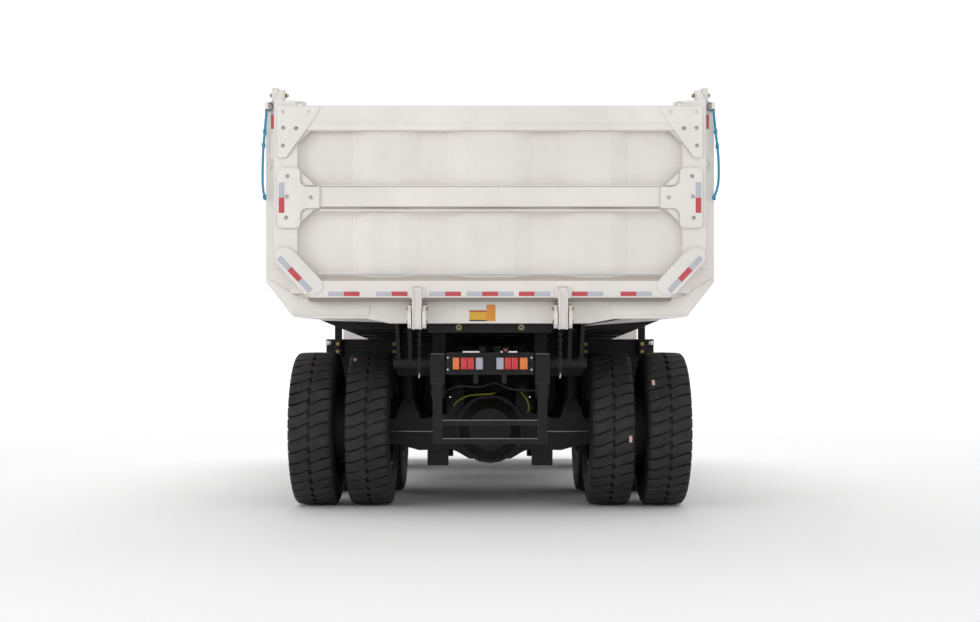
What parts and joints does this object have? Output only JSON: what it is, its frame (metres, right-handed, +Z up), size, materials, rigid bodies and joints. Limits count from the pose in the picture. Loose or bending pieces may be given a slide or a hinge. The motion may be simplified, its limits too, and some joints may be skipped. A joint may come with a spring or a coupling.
{
  "type": "mining dump truck",
  "caption": "Wide-body mining dump truck with tandem dual wheels, an offset cab under a canopy, a front hoist, a tipping bed and a top-hung tailgate",
  "frame": {"origin": "on the ground under the middle of the truck's length and width", "axes": "+Y is the front of the truck, +X its right-hand side, +Z up"},
  "size_m": [4.078, 9.54, 4.12],
  "materials": {
    "white_paint": "semi-gloss warm white enamel, dusty",
    "black_paint": "satin black chassis enamel",
    "rim_paint": "satin dark grey wheel paint",
    "tyre_rubber": "matt black rubber with a grey bloom",
    "cylinder_chrome": "hard-chromed rod",
    "cab_glass": "clear safety glass, slightly green",
    "seat_cloth": "dark woven seat cloth",
    "cab_trim": "grained dark plastic",
    "cast_iron": "painted casting",
    "blue_rope": "twisted blue polypropylene rope",
    "rubber_board": "ribbed black rubber board"
  },
  "bodies": {
    "chassis": {"frame": "black_paint", "rear_axle": "black_paint", "mid_axle": "black_paint", "front_axle": "black_paint", "rear_guard": "black_paint", "light_panel": "black_paint", "front_bumper": "black_paint", "radiator": "cast_iron", "engine": "cast_iron", "deck": "black_paint", "handrails": "black_paint", "engine_hood": "white_paint", "air_cleaner": "black_paint", "fuel_tank": "black_paint", "hydraulic_tank": "black_paint", "cab_shell": "white_paint", "cab_side_glass": "cab_glass", "cab_rear_glass": "cab_glass", "windscreen": "cab_glass", "driver_seat": "seat_cloth", "dashboard": "cab_trim"},
    "dump_body": {"bed_floor": "white_paint", "bed_side_left": "white_paint", "bed_side_right": "white_paint", "bed_front_wall": "white_paint", "canopy": "white_paint", "mudguard_board_left": "rubber_board", "mudguard_board_right": "rubber_board", "rope_left": "blue_rope", "rope_right": "blue_rope"},
    "tailgate_body": {"tailgate": "white_paint"},
    "hoist_base": {"hoist_barrel": "black_paint"},
    "hoist_first": {"hoist_stage_first": "cylinder_chrome"},
    "hoist_second": {"hoist_stage_second": "cylinder_chrome"},
    "hoist_third": {"hoist_stage_third": "cylinder_chrome"},
    "door_body": {"cab_door": "white_paint", "door_glass": "cab_glass"},
    "tie_rod_body": {"tie_rod": "cast_iron"},
    "knuckle_body_left": {"knuckle_left": "cast_iron"},
    "front_wheel_left": {"front_wheel_hub_left": "rim_paint", "front_tyre_left": "tyre_rubber"},
    "mid_wheel_left": {"mid_wheel_hub_left": "rim_paint", "mid_tyre_inner_left": "tyre_rubber", "mid_tyre_outer_left": "tyre_rubber"},
    "rear_wheel_left": {"rear_wheel_hub_left": "rim_paint", "rear_tyre_inner_left": "tyre_rubber", "rear_tyre_outer_left": "tyre_rubber"},
    "knuckle_body_right": {"knuckle_right": "cast_iron"},
    "front_wheel_right": {"front_wheel_hub_right": "rim_paint", "front_tyre_right": "tyre_rubber"},
    "mid_wheel_right": {"mid_wheel_hub_right": "rim_paint", "mid_tyre_inner_right": "tyre_rubber", "mid_tyre_outer_right": "tyre_rubber"},
    "rear_wheel_right": {"rear_wheel_hub_right": "rim_paint", "rear_tyre_inner_right": "tyre_rubber", "rear_tyre_outer_right": "tyre_rubber"}
  },
  "joints": [
    {"name": "bed_tip", "type": "hinge", "parent": "chassis", "child": "dump_body", "pos_m": [0, -4.15, 1.373], "axis": [1, 0, 0], "range_deg": [0, 45]},
    {"name": "tailgate_swing", "type": "hinge", "parent": "dump_body", "child": "tailgate_body", "pos_m": [0, -4.45, 3.774], "axis": [-1, 0, 0], "range_deg": [0, 60]},
    {"name": "hoist_lean", "type": "hinge", "parent": "chassis", "child": "hoist_base", "pos_m": [0, 2, 0.85], "axis": [1, 0, 0], "range_deg": [0, 27]},
    {"name": "hoist_extend_first", "type": "slide", "parent": "hoist_base", "child": "hoist_first", "axis": [0, 0, 1], "range_m": [0, 1.53]},
    {"name": "hoist_extend_second", "type": "slide", "parent": "hoist_first", "child": "hoist_second", "axis": [0, 0, 1], "range_m": [0, 1.53]},
    {"name": "hoist_extend_third", "type": "slide", "parent": "hoist_second", "child": "hoist_third", "axis": [0, 0, 1], "range_m": [0, 1.53]},
    {"name": "door_swing", "type": "hinge", "parent": "chassis", "child": "door_body", "pos_m": [-1.645, 3.872, 1.93], "axis": [0, 0, -1], "range_deg": [0, 75]},
    {"name": "steer_left", "type": "hinge", "parent": "chassis", "child": "knuckle_body_left", "pos_m": [-1.22, 2.6, 0.745], "axis": [0, 0, 1], "range_deg": [-35, 35]},
    {"name": "steer_right", "type": "hinge", "parent": "chassis", "child": "knuckle_body_right", "pos_m": [1.22, 2.6, 0.745], "axis": [0, 0, 1], "range_deg": [-35, 35]},
    {"name": "tie_rod_turn", "type": "hinge", "parent": "knuckle_body_left", "child": "tie_rod_body", "pos_m": [-1.22, 2.3, 0.6], "axis": [0, 0, 1], "range_deg": [-35, 35]},
    {"name": "front_spin_left", "type": "hinge", "parent": "knuckle_body_left", "child": "front_wheel_left", "pos_m": [-1.55, 2.6, 0.745], "axis": [1, 0, 0], "continuous": true},
    {"name": "mid_spin_left", "type": "hinge", "parent": "chassis", "child": "mid_wheel_left", "pos_m": [-1.415, -1.7, 0.745], "axis": [1, 0, 0], "continuous": true},
    {"name": "rear_spin_left", "type": "hinge", "parent": "chassis", "child": "rear_wheel_left", "pos_m": [-1.415, -3.4, 0.745], "axis": [1, 0, 0], "continuous": true},
    {"name": "front_spin_right", "type": "hinge", "parent": "knuckle_body_right", "child": "front_wheel_right", "pos_m": [1.55, 2.6, 0.745], "axis": [1, 0, 0], "continuous": true},
    {"name": "mid_spin_right", "type": "hinge", "parent": "chassis", "child": "mid_wheel_right", "pos_m": [1.415, -1.7, 0.745], "axis": [1, 0, 0], "continuous": true},
    {"name": "rear_spin_right", "type": "hinge", "parent": "chassis", "child": "rear_wheel_right", "pos_m": [1.415, -3.4, 0.745], "axis": [1, 0, 0], "continuous": true}
  ],
  "couplings": [
    {"joint": "hoist_lean", "follows": "bed_tip", "ratio": 0.5784},
    {"joint": "hoist_extend_first", "follows": "bed_tip", "m_per_rad": 1.9346},
    {"joint": "hoist_extend_second", "follows": "bed_tip", "m_per_rad": 1.9346},
    {"joint": "hoist_extend_third", "follows": "bed_tip", "m_per_rad": 1.9346},
    {"joint": "steer_right", "follows": "steer_left", "ratio": 1},
    {"joint": "tie_rod_turn", "follows": "steer_left", "ratio": -1}
  ]
}
